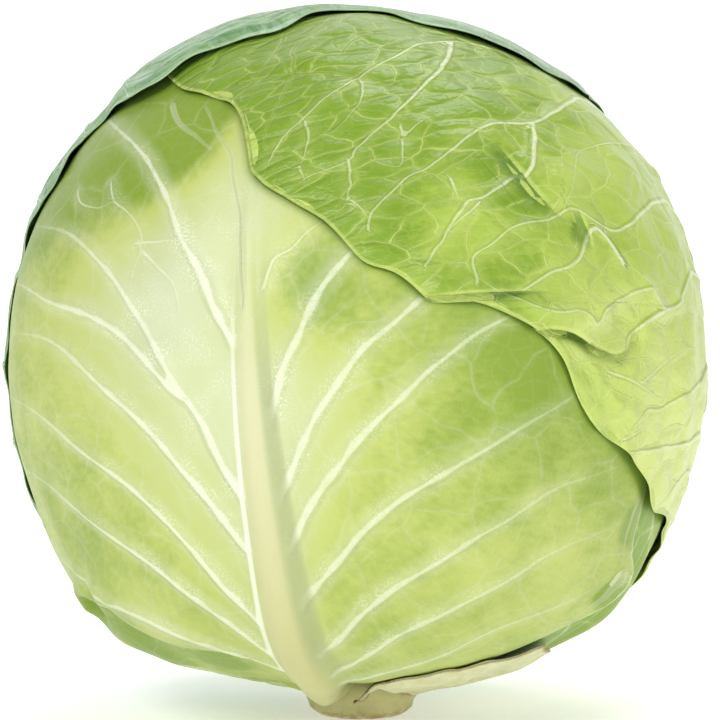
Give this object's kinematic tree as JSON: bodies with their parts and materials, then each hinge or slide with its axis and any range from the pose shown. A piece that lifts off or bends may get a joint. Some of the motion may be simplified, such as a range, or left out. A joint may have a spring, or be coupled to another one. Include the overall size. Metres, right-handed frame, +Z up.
{
  "type": "green cabbage",
  "caption": "Round green cabbage head with wrapper leaves folded over a dense heart, standing on its cut stem.",
  "frame": {"origin": "middle of the stem's cut face, which the head stands on", "axes": "+Z up from the stem to the crown, -Y towards the front leaf, +X to the right as seen from the front"},
  "size_m": [0.1808, 0.1817, 0.1808],
  "materials": {
    "stem": "dense pale stem, dry and slightly browned on its cut face",
    "heart": "tight pale yellow-green inner leaves, smooth and waxy",
    "inner_leaf": "smooth waxy leaf, light green with pale raised veins",
    "front_leaf": "waxy light green leaf, near white round its cream midrib, with pale raised veins",
    "right_leaf": "waxy mid green leaf with thin pale veins and a fine net between them",
    "rear_leaf": "outermost leaf, deeper green with a bluish bloom of wax",
    "cut_leaf_base": "pale thick leaf base with a dry brown cut edge"
  },
  "bodies": {
    "root": {"stem": "stem", "heart": "heart", "inner_leaf_left": "inner_leaf", "inner_leaf_right": "inner_leaf", "inner_leaf_rear": "inner_leaf", "front_leaf": "front_leaf", "right_leaf": "right_leaf", "rear_leaf": "rear_leaf", "cut_leaf_base": "cut_leaf_base"}
  },
  "joints": []
}
